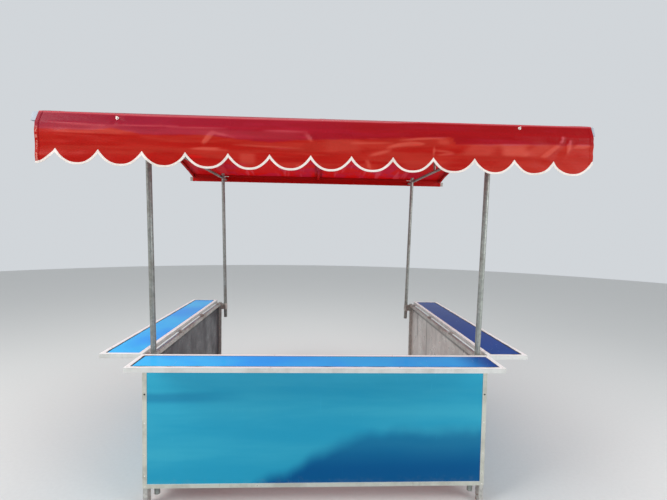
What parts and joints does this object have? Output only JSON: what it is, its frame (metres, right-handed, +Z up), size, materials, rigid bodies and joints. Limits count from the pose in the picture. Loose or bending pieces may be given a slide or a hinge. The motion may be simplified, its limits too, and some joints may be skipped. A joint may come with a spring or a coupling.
{
  "type": "market stall",
  "caption": "Open market stall: metal counters set in a U with blue panels and boards, round posts and an arched red vinyl canopy with a scalloped front.",
  "frame": {"origin": "on the ground under the middle of the canopy", "axes": "+X to the right as seen by the public, +Y from the public's side to the open rear, +Z up"},
  "size_m": [2.744, 2.601, 2.3399],
  "materials": {
    "galvanised_steel": "dull zinc coating, weathered",
    "aluminium": "mill finish, scratched",
    "blue_panel": "gloss paint outside, bare sheet inside",
    "blue_board": "gloss",
    "red_vinyl": "coated cloth, satin sheen",
    "white_binding": "matt tape"
  },
  "bodies": {
    "root": {"front_counter_left_leg": "galvanised_steel", "front_counter_right_leg": "galvanised_steel", "front_counter_top_rail": "galvanised_steel", "front_counter_bottom_rail": "galvanised_steel", "front_counter_board_arms": "galvanised_steel", "front_counter_panel": "blue_panel", "front_counter_panel_trim": "aluminium", "front_counter_board": "blue_board", "front_counter_board_trim": "aluminium", "left_counter_left_leg": "galvanised_steel", "left_counter_right_leg": "galvanised_steel", "left_counter_top_rail": "galvanised_steel", "left_counter_bottom_rail": "galvanised_steel", "left_counter_board_arms": "galvanised_steel", "left_counter_panel": "blue_panel", "left_counter_panel_trim": "aluminium", "left_counter_board": "blue_board", "left_counter_board_trim": "aluminium", "right_counter_left_leg": "galvanised_steel", "right_counter_right_leg": "galvanised_steel", "right_counter_top_rail": "galvanised_steel", "right_counter_bottom_rail": "galvanised_steel", "right_counter_board_arms": "galvanised_steel", "right_counter_panel": "blue_panel", "right_counter_panel_trim": "aluminium", "right_counter_board": "blue_board", "right_counter_board_trim": "aluminium", "front_left_post": "galvanised_steel", "rear_left_post": "galvanised_steel", "front_right_post": "galvanised_steel", "rear_right_post": "galvanised_steel", "left_post_sleeves": "galvanised_steel", "right_post_sleeves": "galvanised_steel", "left_roof_bow": "galvanised_steel", "middle_roof_bow": "galvanised_steel", "right_roof_bow": "galvanised_steel", "left_roof_rail": "galvanised_steel", "right_roof_rail": "galvanised_steel", "ridge_rail": "galvanised_steel", "ridge_struts": "galvanised_steel", "front_roof_rail": "aluminium", "rear_roof_rail": "aluminium", "canopy_cover": "red_vinyl", "canopy_binding": "white_binding"}
  },
  "joints": []
}
